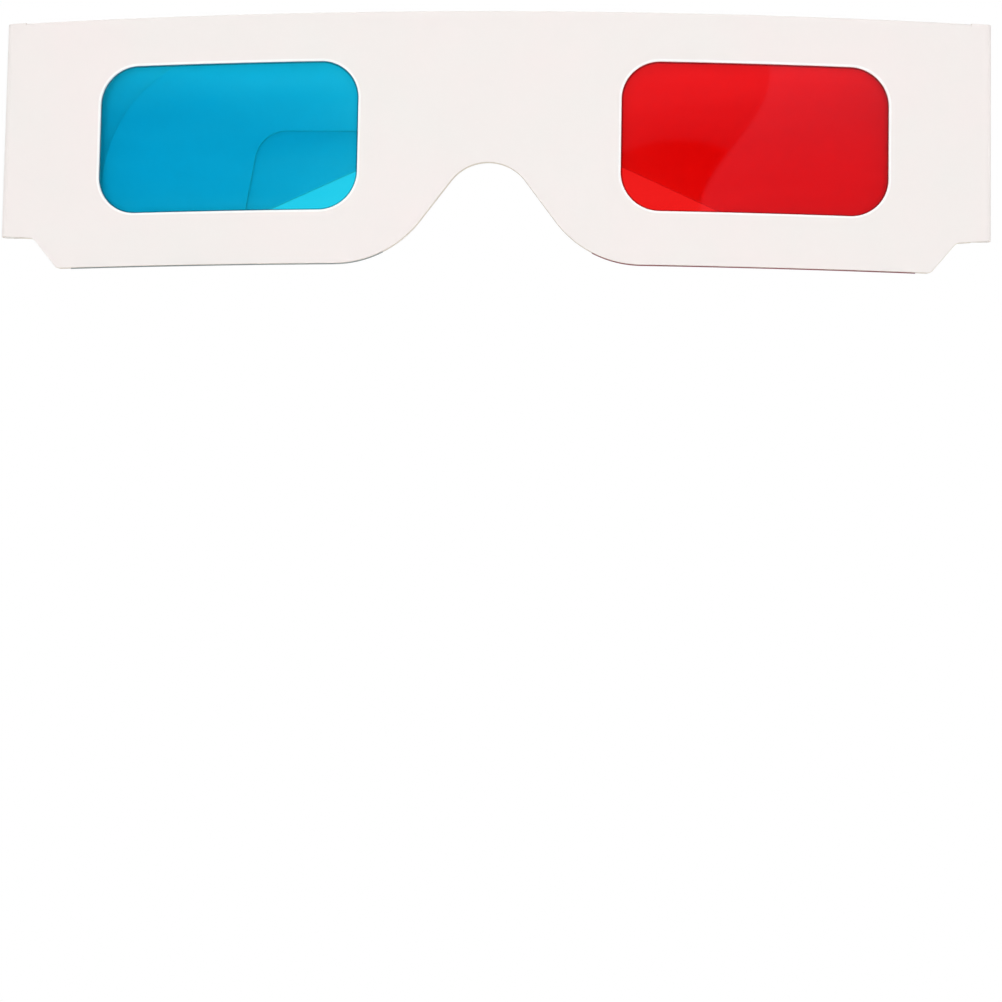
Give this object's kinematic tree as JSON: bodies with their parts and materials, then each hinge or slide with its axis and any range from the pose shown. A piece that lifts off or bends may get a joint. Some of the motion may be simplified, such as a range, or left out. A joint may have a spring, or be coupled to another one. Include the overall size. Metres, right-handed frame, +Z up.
{
  "type": "3d glasses",
  "caption": "Folding card viewing glasses: a bowed front with red and cyan film behind rounded windows, a nose arch, and hooked arms that fold in flat behind it.",
  "frame": {"origin": "top of the nose arch, on the front face of the front card, where the glasses sit on the nose", "axes": "+X to the wearer's left, which is the red film's side; the front faces -Y; +Z is up as worn. The arms are folded in behind the front."},
  "size_m": [0.15, 0.0102, 0.0383],
  "materials": {
    "card_outside": "satin",
    "card_inside": "matte",
    "glue": "matte",
    "red_film": "gloss",
    "cyan_film": "gloss"
  },
  "bodies": {
    "front": {"front_card": "card_outside", "rear_card": "card_inside", "top_fold": "card_outside", "glue_layer": "glue", "red_film": "red_film", "cyan_film": "cyan_film", "left_crease": "card_outside", "right_crease": "card_outside"},
    "left_arm": {"left_arm": "card_outside"},
    "right_arm": {"right_arm": "card_outside"}
  },
  "joints": [
    {"name": "left_arm_fold", "type": "hinge", "parent": "front", "child": "left_arm", "pos_m": [0.07434, 0.00883, 0], "axis": [0, 0, -1], "range_deg": [0, 167], "deforming": ["left_crease"]},
    {"name": "right_arm_fold", "type": "hinge", "parent": "front", "child": "right_arm", "pos_m": [-0.07393, 0.00916, 0], "axis": [0, 0, 1], "range_deg": [0, 167], "deforming": ["right_crease"]}
  ]
}
